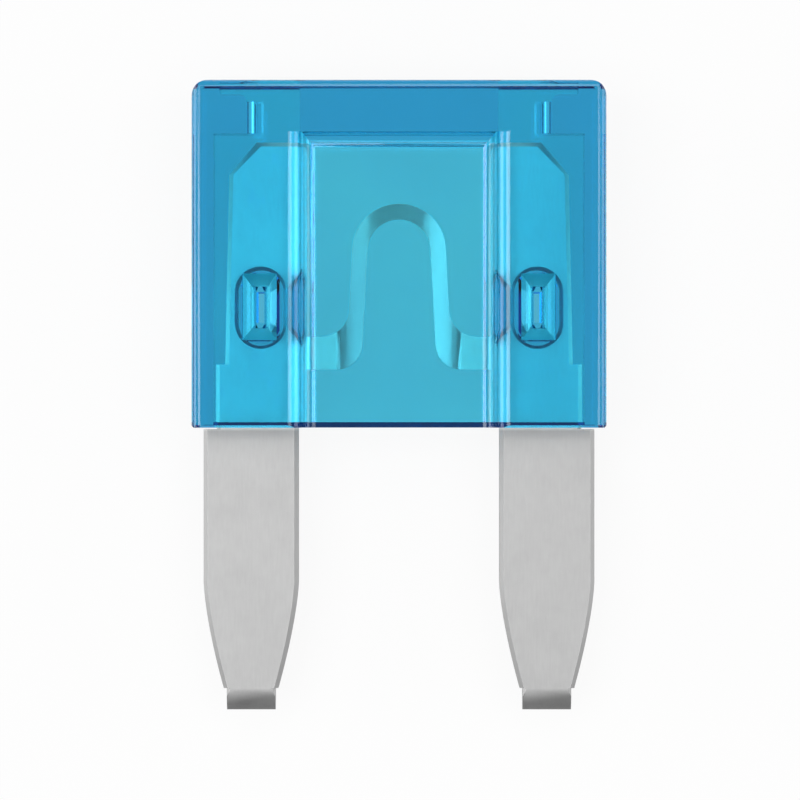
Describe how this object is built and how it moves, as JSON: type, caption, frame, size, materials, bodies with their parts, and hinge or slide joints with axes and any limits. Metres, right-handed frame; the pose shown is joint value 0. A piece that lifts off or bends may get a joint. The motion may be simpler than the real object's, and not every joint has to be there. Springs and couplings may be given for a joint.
{
  "type": "automotive blade fuse",
  "caption": "Small plug-in blade fuse: clear light blue housing with cap, windows and probe slots, plated blades and an arched fusible link.",
  "frame": {"origin": "middle of the overall width and length, on the back face, on which the fuse lies", "axes": "+X across the blades, +Y along them from the tips towards the cap, +Z out of the front face"},
  "size_m": [0.0108, 0.0164, 0.0036],
  "materials": {
    "clear_blue_plastic": "clear, glossy",
    "plated_metal": "satin, tin-plated zinc alloy"
  },
  "bodies": {
    "root": {"housing": "clear_blue_plastic", "fuse_element": "plated_metal"}
  },
  "joints": []
}
